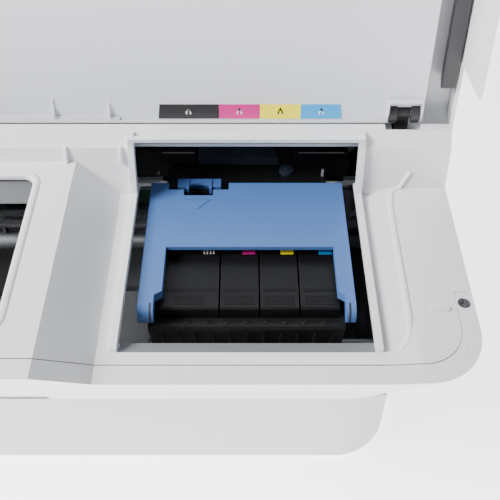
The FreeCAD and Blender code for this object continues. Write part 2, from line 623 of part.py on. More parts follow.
def make_carriage_bushes():
    rings = []
    for x0 in (-52, 38):
        ring = tube_x(BAY_X + x0, BAY_X + x0 + 14, SHAFT_Y, SHAFT_Z, SHAFT_R + 1.49, SHAFT_R + 0.04)
        rings.append(ring)
    return group(rings)


def make_head_board():
    """Slate housing of the head electronics, with side boxes, on the rear of the carriage."""
    plate = prism_z([(BAY_X - 36, -34), (BAY_X + 24, -34), (BAY_X + 17, -12), (BAY_X - 36, -12)], 150.02, 156)
    boss = rod_z(155.5, 157.5, BAY_X - 6, -24, 3)
    return join([plate, boss])


def make_print_head():
    return bx(-50, 52, -150, -84, 92, 107.98)


def make_cartridge(x0, x1):
    """Ink cartridge with a stepped top, a grip ridge and a nozzle stub."""
    side = [(-172.0, 111.1), (-172.0, 149.0), (-170.8, 150.0), (-75.0, 150.0), (-75.0, 111.1)]
    body = prism_x(side, BAY_X + x0, BAY_X + x1)
    ridges = [bx(x0 + 1.2, x1 - 1.2, -156.5 - i * 1.6, -156.0 - i * 1.6, 149.5, 150.25) for i in range(2)]
    tag = bx(x1 - 10.5, x1 - 2.0, -125.4, -121.6, 149.5, 150.2)
    return join([body] + ridges), tag


def make_cartridge_cover():
    """Blue retainer over the cartridges: flat plate, two arms and pivot lugs."""
    xl, xr = -67.5, 67.8
    plate = bx(xl, xr, -128, -65, COVER_Z - 3, COVER_Z)
    arms = []
    for outer, wide, narrow, inner in ((xl, -53.0, -57.7, -63.5), (xr, 57.5, 61.6, 63.8)):
        broad = prism_z([(BAY_X + outer, -127), (BAY_X + wide, -127), (BAY_X + wide, -166), (BAY_X + narrow, -169),
                         (BAY_X + outer, -169)], 153, COVER_Z)
        tip = prism_x([(-168, COVER_Z), (-168, 153), (-172, 153), (-177, 150.5), (-180.5, 147.6), (-182.6, 149),
                       (-183.2, 152), (-182.4, 156), (-180, 158.8), (-176.5, COVER_Z)],
                      BAY_X + min(outer, narrow), BAY_X + max(outer, narrow))
        lug = prism_x([(-156, 154), (-160, 141), (-160.5, 136), (-163, 132.4), (-167, 131.6), (-170.4, 134),
                       (-172, 138), (-180.5, 147.6), (-180.5, 154)],
                      BAY_X + min(outer, inner), BAY_X + max(outer, inner))
        arms.append(join([broad, tip, lug]))
    skirts = [bx(xl, -64.7, -128, -65, 148, COVER_Z), bx(65.0, xr, -128, -65, 148, COVER_Z),
              bx(xl, -53, -68, -65, 153, COVER_Z), bx(-14, xr, -68, -65, 153, COVER_Z)]
    body = join([plate] + arms + skirts)
    body = body.cut(bx(-55, -12.6, -72, -60, 140, 170))
    body = body.cut(bx(-44.0, -23.5, -78, -70, 140, 170))
    for l0, l1 in ((xl, -63.5), (63.8, xr)):
        body = body.cut(rod_x(BAY_X + l0 - 1, BAY_X + l1 + 1, PIVOT_Y, PIVOT_Z, 2.05))
    mark = prism_z([(BAY_X - 43, -82), (BAY_X - 24, -82), (BAY_X - 33.5, -92)], COVER_Z - 0.5, COVER_Z + 1)
    inner = prism_z([(BAY_X - 41.6, -82.7), (BAY_X - 25.4, -82.7), (BAY_X - 33.5, -91.1)], COVER_Z - 2, COVER_Z + 2)
    return body.cut(mark.cut(inner))


def make_cover_pins():
    return group([rod_x(BAY_X - 67.0, BAY_X - 58.9, PIVOT_Y, PIVOT_Z, 1.99),
                  rod_x(BAY_X + 60.2, BAY_X + 67.3, PIVOT_Y, PIVOT_Z, 1.99)])


def make_cover_latch():
    """Sprung clip at the rear of the blue cover."""
    tab = bx(-49.0, -18.2, -68.5, -60.0, 157.2, 159.4)
    round_cut = rod_z(150, 170, BAY_X - 33.6, -76.5, 12)
    legs = [bx(-42.5, -40.8, -71.5, -61, 155.5, 160.2), bx(-26.4, -24.7, -71.5, -61, 155.5, 160.2)]
    tongue = bx(-42.0, -25.0, -61.7, -60.4, 146.5, 158)
    claw = bx(-40.0, -27.0, -63.2, -61.5, 146.5, 148.2)
    return join([tab.cut(round_cut)] + legs + [tongue, claw])


def make_timing_belt():
    """Loop around both pulleys; the carriage is clamped to its lower run."""
    r_out, r_in = PULLEY_R + 1.4, PULLEY_R + 0.1
    y0, y1 = BELT_Y - 4, BELT_Y + 4

    def loop(r):
        ends = [rod_y(y0, y1, s * PULLEY_X, BELT_Z, r) for s in (-1, 1)]
        return join(ends + [box(-PULLEY_X, PULLEY_X, y0, y1, BELT_Z - r, BELT_Z + r)])
    return loop(r_out).cut(loop(r_in))


def make_pulley(side):
    x = side * PULLEY_X
    wheel = rod_y(BELT_Y - 3.8, BELT_Y + 3.8, x, BELT_Z, PULLEY_R)
    count = 24
    for i in range(count):
        a = 2 * math.pi * i / count
        notch = rod_y(BELT_Y - 5, BELT_Y + 5, x + PULLEY_R * math.cos(a), BELT_Z + PULLEY_R * math.sin(a), 0.5)
        wheel = wheel.cut(notch)
    flange = rod_y(BELT_Y - 5.6, BELT_Y - 4.2, x, BELT_Z, PULLEY_R + 2.4)
    neck = rod_y(BELT_Y - 4.4, BELT_Y - 3.6, x, BELT_Z, PULLEY_R - 1)
    return join([wheel, flange, neck]).cut(rod_y(BELT_Y - 6, BELT_Y + 6, x, BELT_Z, 2.5))


def belt_clamp():
    """Tongue at the back of the carriage, under the belt's lower run."""
    return join([bx(-14, 14, -9.0, -2.6, 128, 134.0), bx(-14, 14, -4.6, 5.5, 131.0, 135.3)])


# ---------------------------------------------------------------- roll holder and service parts
def make_spindle():
    return join([rod_x(-FRAME_X - 4, FRAME_X + 4, ROLL_Y, ROLL_Z, 12.3), rod_x(-428, -420, ROLL_Y, ROLL_Z, 18)])


def make_flange(x0, x1):
    disc = tube_x(x0, x1, ROLL_Y, ROLL_Z, FLANGE_R, 12.36)
    holes = []
    for i in range(6):
        a = math.radians(60 * i + 30)
        holes.append(rod_x(x0 - 1, x1 + 1, ROLL_Y + 45 * math.cos(a), ROLL_Z + 45 * math.sin(a), 11))
    return disc.cut(Part.makeCompound(holes))


def make_roll_cradle():
    """Trough under the roll."""
    bend = tube_x(MEDIA_X0 - 20, MEDIA_X1 + 32, ROLL_Y, ROLL_Z, 80, 78)
    lower = bend.common(box(-500, 500, ROLL_Y - 90, ROLL_Y + 90, 40, ROLL_Z - 10))
    return lower


def make_cap_station():
    body = bx(-58, 58, -152, -76, 58, 84).fuse(bx(-50, 52, -150, -82, 83, 90))
    cup = bx(-46, 48, -146, -86, 86, 92)
    lips = bx(-48, 50, -148, -84, 89, 91.6).cut(bx(-46, 48, -146, -86, 85, 92))
    return body.cut(cup.translated(V(0, 0, 2))), lips.cut(body)


def panel_block(grow, depth):
    """Block flush with the slanted front face, used for the panel and its pocket."""
    tilt = math.atan(FRONT_SLOPE)
    block = Part.makeBox(PANEL_X1 - PANEL_X0 + 2 * grow, depth + 1.0, PANEL_LEN + 2 * grow,
                         V(PANEL_X0 - grow, -1.0 if grow else 0.0, -PANEL_LEN - grow))
    block.rotate(V(0, 0, 0), AX, math.degrees(tilt))
    block.translate(V(0, front_y(PANEL_TOP_Z), PANEL_TOP_Z))
    return block


def panel_place(x0, x1, d0, d1, s0, s1):
    """A box given by depth behind the front face and distance down it from the panel's top edge."""
    block = Part.makeBox(x1 - x0, d1 - d0, s1 - s0, V(x0, d0, -s1))
    block.rotate(V(0, 0, 0), AX, math.degrees(math.atan(FRONT_SLOPE)))
    block.translate(V(0, front_y(PANEL_TOP_Z), PANEL_TOP_Z))
    return block


def panel_rod(x0, x1, depth, down, r):
    rod = Part.makeCylinder(r, x1 - x0, V(x0, depth, -down), AX)
    rod.rotate(V(0, 0, 0), AX, math.degrees(math.atan(FRONT_SLOPE)))
    rod.translate(V(0, front_y(PANEL_TOP_Z), PANEL_TOP_Z))
    return rod


def make_control_panel():
    """Display housing; it swings up about its top edge."""
    body = panel_place(PANEL_X0, PANEL_X1, 0, 10, 1, PANEL_LEN)
    recess = panel_place(PANEL_X0 + 10, PANEL_X1 - 10, -1, 2.4, 6, PANEL_LEN - 4)
    back = panel_rod(PANEL_X0, PANEL_X1, 5.0, 6.0, 5.0)
    top = panel_place(PANEL_X0 - 1, PANEL_X1 + 1, -1, 12, 0, 6)
    body = join([body.cut(top), back]).cut(recess)
    return body.cut(panel_rod(PANEL_X0 - 1, PANEL_X1 + 1, 5.0, 6.0, 1.55))


def make_panel_bay():
    """Recess box behind the panel that holds its hinge rod."""
    outer = panel_place(PANEL_X0 - 3.5, PANEL_X1 + 3.5, 3.2, 16, -2.5, PANEL_LEN + 2)
    inner = panel_place(PANEL_X0 - 1, PANEL_X1 + 1, 3.0, 14, -0.5, PANEL_LEN + 1)
    return join([outer.cut(inner), panel_rod(PANEL_X0 - 2.9, PANEL_X1 + 2.9, 5.0, 6.0, 1.5)])


def button_rod(r, d0, d1):
    tilt = math.atan(FRONT_SLOPE)
    normal = V(0, math.cos(tilt), math.sin(tilt))
    start = V(BUTTON_X, front_y(BUTTON_Z), BUTTON_Z) + normal * d0
    return Part.makeCylinder(r, d1 - d0, start, normal)


def make_power_button():
    return join([button_rod(BUTTON_R, -0.8, 6.0), button_rod(BUTTON_R + 1.6, 3.6, 6.0)])


def make_button_guide():
    ring = button_rod(BUTTON_R + 3.5, 3.0, 13.0).cut(button_rod(BUTTON_R + 2.0, 2.0, 11.0))
    return ring


def make_power_inlet():
    shell = box(388.3, 415.7, BACK_Y - 18, BACK_Y - 0.5, 30.3, 51.7)
    pocket = box(390.5, 413.5, BACK_Y - 15, BACK_Y + 1, 32.5, 49.5)
    pins = [box(x - 1, x + 1, BACK_Y - 16, BACK_Y - 5, 38, 44) for x in (396, 402, 408)]
    return join([shell.cut(pocket)] + pins)


def make_main_board():
    board = box(70, 300, 60, 215, 20, 21.6)
    chips = [box(110, 135, 95, 120, 21.5, 24), box(160, 172, 90, 112, 21.5, 24), box(210, 240, 150, 180, 21.5, 38),
             box(80, 100, 70, 80, 21.5, 30), box(250, 290, 195, 212, 21.5, 34)]
    posts = [rod_z(7.05, 20.5, x, y, 3) for x in (80, 290) for y in (85, 190)]
    return join([board] + chips + posts)


def make_screws():
    """Cover screws: one recessed at the right front corner and its twin at the left."""
    pieces = []
    for s in (-1, 1):
        z = (RIGHT_Z if s > 0 else LEFT_Z) - 0.4
        x = s * SCREW_X
        head = rod_z(z - 1.6, z, x, SCREW_Y, 3.8)
        cross = box(x - 2.3, x + 2.3, SCREW_Y - 0.5, SCREW_Y + 0.5, z - 1, z + 1).fuse(
            box(x - 0.5, x + 0.5, SCREW_Y - 2.3, SCREW_Y + 2.3, z - 1, z + 1))
        pieces.append(head.cut(cross).fuse(rod_z(z - 10, z - 1.5, x, SCREW_Y, 2.2)))
    return group(pieces)


def make_feet():
    return group([rod_z(0, BASE_Z, x, y, 14) for x in (-400, 0, 400) for y in (-150, 215)])


# ---------------------------------------------------------------- write everything
save("lower_case", make_lower_case())
save("front_cover", make_front_cover())
save("top_cover", make_top_cover())
save("end_cover_left", make_end_cover(-1))
save("end_cover_right", make_end_cover(1))
save("rear_top_cover", make_rear_top_cover())
save("rear_cover", make_rear_cover())
save("roll_cover", make_roll_cover())
save("lid_shell", make_lid_shell())
save("lid_liner", make_lid_liner())
save("lid_end_blocks", make_lid_end_blocks())
save("ink_label", group(make_ink_label()))
save("lid_pins", make_lid_pins())
save("hinge_brackets", make_hinge_brackets())
save("side_frame_left", make_side_frame(-1))
save("side_frame_right", make_side_frame(1))
save("rail_beam", make_rail_beam())
save("guide_shaft", make_guide_shaft())
save("platen", make_platen())
save("platen_supports", make_supports())
save("feed_roller", make_feed_roller())
GEAR_M = 0.8
GEAR_X0, GEAR_X1 = -FRAME_X + 3, -FRAME_X + 9
save("feed_gear", gear_x(GEAR_X0, GEAR_X1, FEED_Y, FEED_Z, GEAR_M, 40, 6.01))
MOTOR_Y, MOTOR_Z = FEED_Y + 14.8, FEED_Z - 14.8
save("feed_pinion", gear_x(GEAR_X0, GEAR_X1, MOTOR_Y, MOTOR_Z, GEAR_M, 12, 2.0, 0.0))
save("feed_motor", join([rod_x(GEAR_X1 + 3, GEAR_X1 + 50, MOTOR_Y, MOTOR_Z, 11), rod_x(GEAR_X0 - 1, GEAR_X1 + 4, MOTOR_Y, MOTOR_Z, 1.95)]))
save("pinch_rollers", make_pinch_rollers())
save("pinch_holder", make_pinch_holder())
save("exit_roller", make_exit_roller())
save("star_wheels", make_star_wheels())
save("exit_guide", make_exit_guide())
save("carriage_body", make_carriage())
save("carriage_bushes", make_carriage_bushes())
save("head_board", make_head_board())
save("print_head", make_print_head())
for colour, start, stop in CARTRIDGES:
    cartridge, tag = make_cartridge(start, stop)
    save("cartridge_" + colour, cartridge)
save("cartridge_cover", make_cartridge_cover())
save("cover_pins", make_cover_pins())
save("cover_latch", make_cover_latch())
save("timing_belt", make_timing_belt())
save("drive_pulley", make_pulley(1))
save("idler_pulley", make_pulley(-1))
save("carriage_motor", join([rod_y(38.3, 78, PULLEY_X, BELT_Z, 15), rod_y(BELT_Y - 6, 39, PULLEY_X, BELT_Z, 2.45)]))
save("encoder_strip", box(-FRAME_X + 1.05, FRAME_X - 1.05, 9.0, 9.4, 158.3, 168))
save("roll_spindle", make_spindle())
save("spindle_flanges", group([make_flange(-419.9, -414), make_flange(214, 220)]))
save("roll_cradle", make_roll_cradle())
cap_body, cap_lips = make_cap_station()
save("cap_station", cap_body)
save("cap_and_wiper", group([cap_lips, bx(62, 64, -140, -96, 7.05, 91.7)]))
save("waste_ink_box", bx(-60, 74, -60, 40, 7.05, 52))
save("power_supply", box(-400, -230, 70, 210, 7.05, 48))
save("main_board", make_main_board())
save("control_panel", make_control_panel())
save("touch_screen", panel_place(PANEL_X0 + 10.2, PANEL_X1 - 10.2, 0.4, 2.38, 6.2, PANEL_LEN - 4.2))
save("panel_bay", make_panel_bay())
save("power_button", make_power_button())
save("power_inlet", make_power_inlet())
save("screws", make_screws())
save("feet", make_feet())
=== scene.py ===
import bpy
import bmesh
import json
import math
from mathutils import Matrix, Vector
from mathutils.bvhtree import BVHTree


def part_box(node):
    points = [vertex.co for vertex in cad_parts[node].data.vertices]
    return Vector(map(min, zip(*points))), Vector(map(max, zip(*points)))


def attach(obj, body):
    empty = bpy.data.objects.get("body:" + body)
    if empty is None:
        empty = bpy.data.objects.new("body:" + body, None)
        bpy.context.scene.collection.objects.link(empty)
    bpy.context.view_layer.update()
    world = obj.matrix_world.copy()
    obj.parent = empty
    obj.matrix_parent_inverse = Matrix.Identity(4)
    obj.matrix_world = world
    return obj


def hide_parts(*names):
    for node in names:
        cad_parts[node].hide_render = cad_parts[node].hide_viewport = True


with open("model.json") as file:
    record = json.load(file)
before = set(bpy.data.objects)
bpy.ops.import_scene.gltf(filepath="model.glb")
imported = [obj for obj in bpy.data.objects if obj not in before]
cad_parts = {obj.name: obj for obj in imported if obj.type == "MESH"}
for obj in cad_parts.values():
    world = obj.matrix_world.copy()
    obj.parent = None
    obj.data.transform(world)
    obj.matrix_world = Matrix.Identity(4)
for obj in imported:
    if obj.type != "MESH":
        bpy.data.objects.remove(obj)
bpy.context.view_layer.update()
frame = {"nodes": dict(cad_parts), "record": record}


# ------------------------------------------------------------------ the studio
# A pale seamless floor that glows a little, a soft light high on the left, a weak one behind the
# printer, and a camera standing over the cartridge bay and looking down into it.
MM = 0.001
COVER_SHIFT = 0.15 * MM   # the blue cover's middle is this far to the right of the bay's
cover_low, cover_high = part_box("cartridge_cover")
bay_x = (cover_low[0] + cover_high[0]) / 2 - COVER_SHIFT


def srgb(red, green, blue):
    """A colour given in the usual 0 to 255 steps, as the linear values that shaders use."""
    steps = [c / 255 for c in (red, green, blue)]
    return [c / 12.92 if c < 0.04 else ((c + 0.055) / 1.055) ** 2.4 for c in steps] + [1.0]


def area_light(name, place, aim, size, power):
    """A rectangular soft light at a place in metres, turned towards its aim."""
    lamp = bpy.data.lights.new(name, "AREA")
    lamp.shape = "RECTANGLE"
    lamp.size, lamp.size_y = size
    lamp.energy = power
    holder = bpy.data.objects.new(name, lamp)
    bpy.context.collection.objects.link(holder)
    holder.location = place
    holder.rotation_euler = (Vector(aim) - Vector(place)).to_track_quat("-Z", "Y").to_euler()


FLOOR_REACH = 6.0
floor_mesh = bpy.data.meshes.new("floor")
floor_mesh.from_pydata([(x * FLOOR_REACH, y * FLOOR_REACH, 0) for x, y in ((-1, -1), (1, -1), (1, 1), (-1, 1))],
                       [], [(0, 1, 2, 3)])
floor = bpy.data.objects.new("floor", floor_mesh)
bpy.context.collection.objects.link(floor)
floor_paint = bpy.data.materials.new("floor_paint")
floor_paint.use_nodes = True
floor_sockets = floor_paint.node_tree.nodes["Principled BSDF"].inputs
floor_sockets["Base Color"].default_value = srgb(252, 252, 252)
floor_sockets["Roughness"].default_value = 0.9
floor_sockets["Emission Color"].default_value = (1, 1, 1, 1)
floor_sockets["Emission Strength"].default_value = 2.6
floor.data.materials.append(floor_paint)

world = bpy.data.worlds.new("studio")
world.use_nodes = True
world.node_tree.nodes["Background"].inputs["Color"].default_value = (0.95, 0.965, 1.0, 1)
world.node_tree.nodes["Background"].inputs["Strength"].default_value = 0.36
bpy.context.scene.world = world
area_light("key_light", (-1.15, -0.65, 1.45), (0.25, -0.1, 0.15), (0.8, 0.8), 92)
area_light("rear_light", (-0.3, 1.3, 1.5), (0.2, 0.0, 0.2), (1.6, 0.8), 10)

STAND_BACK = 0.426        # from the rear edge of the blue cover to the camera, level
STAND_UP = 0.3818         # from the top of the blue cover to the camera
LOOK_DOWN = math.radians(46.67)
camera_data = bpy.data.cameras.new("camera")
camera_data.sensor_width = 36.0
camera_data.lens = 57.6
camera_data.shift_x = 0.007
camera = bpy.data.objects.new("camera", camera_data)
bpy.context.collection.objects.link(camera)
camera.location = (bay_x, cover_high[1] - STAND_BACK, cover_high[2] + STAND_UP)
camera.rotation_euler = (math.pi / 2 - LOOK_DOWN, 0, 0)
bpy.context.scene.camera = camera


# ------------------------------------------------------------------ casing mouldings
# Injection-moulded white plastic with a fine spark texture: front, ends, rear and roll cover.
# Every edge has the small round that the mould gives it.
SHADING_CORNER = math.radians(40)
ROUNDED_CORNER = 0.55                 # radians
FLAT_ENOUGH = math.radians(0.6)
WELD = 0.002 * MM


class Val:
    """A socket of a shader tree. Arithmetic on it adds Math nodes."""

    def __init__(self, tree, socket=None):
        self.tree = tree
        self.socket = socket

    def node(self, kind, settings=(), inputs=(), out=0):
        made = self.tree.nodes.new(kind)
        for key, value in dict(settings).items():
            setattr(made, key, value)
        for key, value in dict(inputs).items():
            if isinstance(value, Val):
                self.tree.links.new(value.socket, made.inputs[key])
            else:
                made.inputs[key].default_value = value
        return Val(self.tree, made.outputs[out])

    def math(self, operation, other, swap=False):
        pair = (other, self) if swap else (self, other)
        return self.node("ShaderNodeMath", {"operation": operation}, {0: pair[0], 1: pair[1]})

    def __add__(self, other):
        return self.math("ADD", other)

    def __radd__(self, other):
        return self.math("ADD", other, swap=True)

    def __sub__(self, other):
        return self.math("SUBTRACT", other)

    def __rsub__(self, other):
        return self.math("SUBTRACT", other, swap=True)

    def __mul__(self, other):
        return self.math("MULTIPLY", other)

    def __rmul__(self, other):
        return self.math("MULTIPLY", other, swap=True)

    def feed(self, name):
        shader = self.tree.nodes["Principled BSDF"]
        self.tree.links.new(self.socket, shader.inputs[name])

    def place(self, stretch=(1, 1, 1)):
        spot = self.node("ShaderNodeTexCoord", out="Object")
        return self.node("ShaderNodeMapping", {}, {"Vector": spot, "Scale": stretch})

    def noise(self, scale, detail=2.0, stretch=(1, 1, 1)):
        inputs = {"Vector": self.place(stretch), "Scale": scale, "Detail": detail}
        return self.node("ShaderNodeTexNoise", {}, inputs, "Fac")

    def stretched(self, low, high):
        """The part of the value between low and high, spread over 0 to 1."""
        return self.node("ShaderNodeMapRange", {}, {0: self, 1: low, 2: high})

    def blend(self, low, high):
        return self.node("ShaderNodeMix", {"data_type": "RGBA"}, {0: self, 6: low, 7: high}, 2)

    def relief(self, strength, depth):
        bump = self.node("ShaderNodeBump", {}, {"Height": self, "Strength": strength, "Distance": depth})
        bump.feed("Normal")


def finish(name, **sockets):
    """A material with its uniform sockets set, and the handle its patterns are built on."""
    material = bpy.data.materials.new(name)
    material.use_nodes = True
    shader = material.node_tree.nodes["Principled BSDF"]
    for key, value in sockets.items():
        shader.inputs[key.replace("_", " ")].default_value = value
    return material, Val(material.node_tree)


def shaded(colour, factor):
    return [min(1.0, c * factor) for c in colour[:3]] + [1.0]


def plastic(name, colour, roughness, grain=0.7, depth=0.05, mottle=0.04, **sockets):
    """Moulded plastic: grain is the width of the texture in millimetres, depth its relief."""
    material, start = finish(name, **sockets)
    fine = start.noise(1000.0 / grain)
    rubbed = start.noise(60.0, 4.0).stretched(0.45, 0.75)
    start.noise(7.0, 3.0).blend(shaded(colour, 1 - mottle), shaded(colour, 1 + mottle)).feed("Base Color")
    (fine * 0.10 + rubbed * 0.06 + (roughness - 0.08)).feed("Roughness")
    fine.relief(0.35, depth * MM)
    return material


def body_of(node):
    """The moving or fixed body that a CAD node belongs to."""
    for body, members in frame["record"]["behaviour"]["bodies"].items():
        if node in members:
            return body


def slot_of(node):
    """The material slot that the record gives a CAD node."""
    for row in frame["record"]["subparts"]:
        if row["node"] == node:
            return row["material_slot"]


def smooth(piece):
    """Smooth shading that leaves real corners sharp and big faces flat."""
    for face in piece.data.polygons:
        face.use_smooth = True
    piece.data.set_sharp_from_angle(angle=SHADING_CORNER)
    weighted = piece.modifiers.new("even_normals", "WEIGHTED_NORMAL")
    weighted.keep_sharp = True
    weighted.weight = 80


def rounded(shape, corner, turns):
    """Rounds every edge of a shape that turns sharply."""
    edges = [e for e in shape.edges if len(e.link_faces) == 2 and e.calc_face_angle() > ROUNDED_CORNER]
    bmesh.ops.bevel(shape, geom=edges, offset=corner, offset_type="OFFSET", segments=turns,
                    profile=0.5, affect="EDGES", clamp_overlap=True)


def placed(name, shape):
    """Turns a shape into an object in the scene."""
    mesh = bpy.data.meshes.new(name)
    shape.to_mesh(mesh)
    shape.free()
    piece = bpy.data.objects.new(name, mesh)
    bpy.context.collection.objects.link(piece)
    return piece


def finished(name, shape, paint, body, corner=0.0, turns=2):
    """Rounds the sharp edges of a shape, and makes it a piece that rides on a body."""
    if corner:
        rounded(shape, corner, turns)
    piece = placed(name, shape)
    smooth(piece)
    piece.data.materials.append(paint)
    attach(piece, body)
    return piece


def merged(node):
    """A merged copy of a CAD node's loose triangles."""
    shape = bmesh.new()
    shape.from_mesh(frame["nodes"][node].data)
    bmesh.ops.remove_doubles(shape, verts=shape.verts, dist=WELD)
    bmesh.ops.dissolve_limit(shape, angle_limit=FLAT_ENOUGH, verts=shape.verts, edges=shape.edges)
    return shape


def softened(node, corner, turns, paint):
    """A copy of a CAD moulding with its edges rounded, in place of the plain one."""
    piece = finished(node + "_moulding", merged(node), paint, body_of(node), corner, turns)
    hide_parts(node)
    return piece


casing = plastic("casing_plastic", srgb(232, 233, 235), 0.42, 0.55, 0.02, 0.012)
for casing_node in ("front_cover", "end_cover_left", "end_cover_right", "rear_top_cover", "roll_cover"):
    softened(casing_node, 0.7 * MM, 2, casing)


# ------------------------------------------------------------------ base tray and feet
# The tray that everything is screwed to, moulded in the casing's plastic with a coarser texture.
# It stands on six soft rubber feet, each with a ring pressed into its sole.
tray = plastic("tray_plastic", srgb(214, 215, 218), 0.5, 0.8, 0.04, 0.02)
softened("lower_case", 1.2 * MM, 2, tray)
foot_rubber = plastic("foot_rubber", srgb(38, 38, 39), 0.8, 0.5, 0.05, 0.08)
softened("feet", 1.0 * MM, 2, foot_rubber)


# ------------------------------------------------------------------ rear cover
# One wide wall with two rows of vent slots behind the electronics. The slots are cut right through
# by tools set in a row, as the mould's slides would leave them.
row_tree = bpy.data.node_groups.new("parts_in_rows", "GeometryNodeTree")
ROW_INPUTS = (("Geometry", "NodeSocketGeometry"), ("Count", "NodeSocketInt"), ("Start", "NodeSocketVector"),
              ("Step", "NodeSocketVector"), ("Rows", "NodeSocketInt"), ("Row step", "NodeSocketVector"),
              ("Finish", "NodeSocketMaterial"))
for label, kind in ROW_INPUTS:
    row_tree.interface.new_socket(label, in_out="INPUT", socket_type=kind)
row_tree.interface.new_socket("Geometry", in_out="OUTPUT", socket_type="NodeSocketGeometry")
row_in = row_tree.nodes.new("NodeGroupInput")


def row_node(kind, **sources):
    """A node of the rows tree, fed by the sockets given under its own sockets' names."""
    made = row_tree.nodes.new(kind)
    for socket, source in sources.items():
        row_tree.links.new(source, made.inputs[socket.replace("_", " ")])
    return made


along = row_node("GeometryNodeMeshLine", Count=row_in.outputs["Count"], Start_Location=row_in.outputs["Start"],
                 Offset=row_in.outputs["Step"])
across = row_node("GeometryNodeMeshLine", Count=row_in.outputs["Rows"], Offset=row_in.outputs["Row step"])
one_row = row_node("GeometryNodeInstanceOnPoints", Points=along.outputs[0], Instance=row_in.outputs["Geometry"])
all_rows = row_node("GeometryNodeInstanceOnPoints", Points=across.outputs[0], Instance=one_row.outputs[0])
real_rows = row_node("GeometryNodeRealizeInstances", Geometry=all_rows.outputs[0])
painted_rows = row_node("GeometryNodeSetMaterial", Geometry=real_rows.outputs[0],
                        Material=row_in.outputs["Finish"])
row_node("NodeGroupOutput", Geometry=painted_rows.outputs[0])


def in_rows(name, shape, paint, count, start, step, rows=1, row_step=(0, 0, 0), corner=0.0):
    """A small shape made at the origin, repeated along a step and again along a row step, in millimetres."""
    if corner:
        rounded(shape, corner, 1)
    piece = placed(name, shape)
    rows_modifier = piece.modifiers.new("rows", "NODES")
    rows_modifier.node_group = row_tree
    values = {"Count": count, "Start": [c * MM for c in start], "Step": [c * MM for c in step], "Rows": rows,
              "Row step": [c * MM for c in row_step], "Finish": paint}
    for item in row_tree.interface.items_tree:
        if item.in_out == "INPUT" and item.name in values:
            rows_modifier[item.identifier] = values[item.name]
    bpy.context.view_layer.update()
    evaluated = piece.evaluated_get(bpy.context.evaluated_depsgraph_get())
    result = bpy.data.meshes.new_from_object(evaluated)
    piece.modifiers.remove(rows_modifier)
    piece.data = result
    smooth(piece)
    return piece


def rows_on(body, slot, *args, **options):
    """Parts in rows that ride on a body."""
    piece = in_rows(*args, **options)
    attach(piece, body)
    return piece


def block(shape, x0, x1, y0, y1, z0, z1, turn=None):
    """Adds a box given in millimetres."""
    made = bmesh.ops.create_cube(shape, size=1.0)["verts"]
    size = Matrix.Diagonal(((x1 - x0) * MM, (y1 - y0) * MM, (z1 - z0) * MM, 1))
    spot = Matrix.Translation(((x0 + x1) / 2 * MM, (y0 + y1) / 2 * MM, (z0 + z1) / 2 * MM))
    bmesh.ops.transform(shape, matrix=(turn or Matrix()) @ spot @ size, verts=made)
    return shape


def prism(shape, points, low, high, axis="X", turn=None):
    """Adds an outline given in millimetres, carried along an axis. Points are the other two coordinates."""
    orders = {"X": lambda a, b, c: (c, a, b), "Y": lambda a, b, c: (a, c, b), "Z": lambda a, b, c: (a, b, c)}
    rings = []
    for level in (low, high):
        places = [Vector(orders[axis](a, b, level)) * MM for a, b in points]
        rings.append([shape.verts.new(turn @ p if turn else p) for p in places])
    faces = [shape.faces.new(rings[0][::-1]), shape.faces.new(rings[1])]
    for i in range(len(points)):
        j = (i + 1) % len(points)
        faces.append(shape.faces.new((rings[0][i], rings[0][j], rings[1][j], rings[1][i])))
    bmesh.ops.recalc_face_normals(shape, faces=faces)
    return shape


def ring_points(centre_a, centre_b, radius, sides=24, start=0.0, sweep_angle=360.0):
    """Points round a circle, or along an arc of it with both of its ends."""
    whole = sweep_angle >= 360.0
    count = sides if whole else sides + 1
    angles = [math.radians(start + sweep_angle * i / sides) for i in range(count)]
    return [(centre_a + radius * math.cos(a), centre_b + radius * math.sin(a)) for a in angles]


def carved(node, tools):
    """A merged copy of a CAD node with the tools cut out of it. The tools are used up."""
    blank = placed(node + "_blank", merged(node))
    cut = blank.modifiers.new("cut", "BOOLEAN")
    cut.object = tools
    cut.solver = "EXACT"
    bpy.context.view_layer.update()
    result = bpy.data.meshes.new_from_object(blank.evaluated_get(bpy.context.evaluated_depsgraph_get()))
    bpy.data.objects.remove(blank)
    bpy.data.objects.remove(tools)
    shape = bmesh.new()
    shape.from_mesh(result)
    bmesh.ops.remove_doubles(shape, verts=shape.verts, dist=WELD)
    return shape


vent_outline = ring_points(0, 9, 1.5, 6, 0, 180) + ring_points(0, -9, 1.5, 6, 180, 180)
vent_tools = in_rows("vent_tools", prism(bmesh.new(), vent_outline, -6, 6, "Y"), casing, 34, (80, 251, 172),
                     (9, 0, 0), 2, (0, 0, -30))
rear_piece = finished("rear_cover_moulding", carved("rear_cover", vent_tools), casing, "base",
                      0.35 * MM, 1)
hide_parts("rear_cover")


# ------------------------------------------------------------------ deck and its trim
# The moulded deck with the window and the bay. Its window has a rolled rim, the slope beside the bay
# ends in a soft ridge, and a low pad and a dimple sit in the front band.
BAY = bay_x / MM


def skin_of(node):
    mesh = frame["nodes"][node].data
    return BVHTree.FromPolygons([v.co for v in mesh.vertices], [tuple(p.vertices) for p in mesh.polygons])


def on_skin(skin, x, y):
    """The point of a skin straight below (x, y), which are in millimetres."""
    spot = skin.ray_cast(Vector((x * MM, y * MM, 1)), Vector((0, 0, -1)))[0]
    return Vector((x * MM, y * MM, spot.z))


